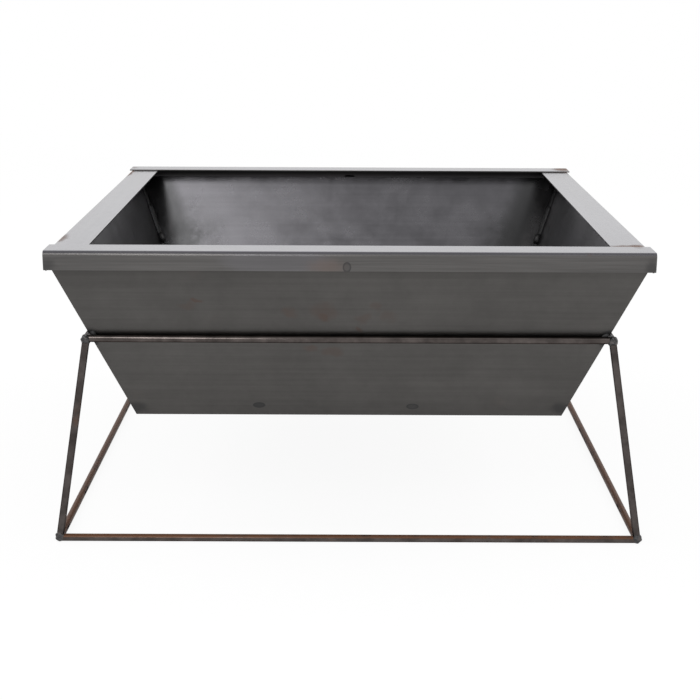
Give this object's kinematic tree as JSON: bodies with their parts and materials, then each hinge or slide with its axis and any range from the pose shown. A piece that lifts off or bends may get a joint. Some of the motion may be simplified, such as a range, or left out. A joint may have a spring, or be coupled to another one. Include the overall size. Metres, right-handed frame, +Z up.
{
  "type": "fire pit",
  "caption": "Square raw-steel fire pit: a tapered sheet bowl with a folded rim, welded into a splayed round-bar stand, with a loose bar grate that lifts out.",
  "frame": {"origin": "on the ground under the middle of the pit", "axes": "+X right, +Y from the front to the back, +Z up out of the bowl"},
  "size_m": [0.7974, 0.7974, 0.4],
  "materials": {
    "bowl_sheet_steel": "hot-rolled sheet, unpainted, with dark mill scale, heat marks and a little rust",
    "stand_bar_steel": "round bar, unpainted, dark with light brown surface rust",
    "grate_bar_steel": "round bar, unpainted, dark mill scale",
    "weld_metal": "as welded, heat tinted"
  },
  "bodies": {
    "pit": {"back_foot_bar": "stand_bar_steel", "back_left_leg": "stand_bar_steel", "back_right_leg": "stand_bar_steel", "back_rim_strip": "bowl_sheet_steel", "back_top_bar": "stand_bar_steel", "back_wall": "bowl_sheet_steel", "base_plate": "bowl_sheet_steel", "base_plate_welds": "weld_metal", "bowl_corner_welds": "weld_metal", "bowl_tack_welds": "weld_metal", "foot_corner_welds": "weld_metal", "front_foot_bar": "stand_bar_steel", "front_left_leg": "stand_bar_steel", "front_right_leg": "stand_bar_steel", "front_rim_strip": "bowl_sheet_steel", "front_top_bar": "stand_bar_steel", "front_wall": "bowl_sheet_steel", "left_foot_bar": "stand_bar_steel", "left_rim_strip": "bowl_sheet_steel", "left_top_bar": "stand_bar_steel", "left_wall": "bowl_sheet_steel", "lip_welds": "weld_metal", "right_foot_bar": "stand_bar_steel", "right_rim_strip": "bowl_sheet_steel", "right_top_bar": "stand_bar_steel", "right_wall": "bowl_sheet_steel", "rim_corner_welds": "weld_metal", "top_corner_welds": "weld_metal"},
    "grate": {"grate_back_bar": "grate_bar_steel", "grate_bar_01": "grate_bar_steel", "grate_bar_02": "grate_bar_steel", "grate_bar_03": "grate_bar_steel", "grate_bar_04": "grate_bar_steel", "grate_bar_05": "grate_bar_steel", "grate_bar_06": "grate_bar_steel", "grate_bar_07": "grate_bar_steel", "grate_bar_08": "grate_bar_steel", "grate_bar_09": "grate_bar_steel", "grate_bar_10": "grate_bar_steel", "grate_bar_11": "grate_bar_steel", "grate_front_bar": "grate_bar_steel", "grate_left_bar": "grate_bar_steel", "grate_right_bar": "grate_bar_steel", "grate_stay": "grate_bar_steel", "grate_welds": "weld_metal"}
  },
  "joints": [
    {"name": "grate_lift", "type": "slide", "parent": "pit", "child": "grate", "axis": [0, 0, 1], "range_m": [0, 0.25]}
  ]
}
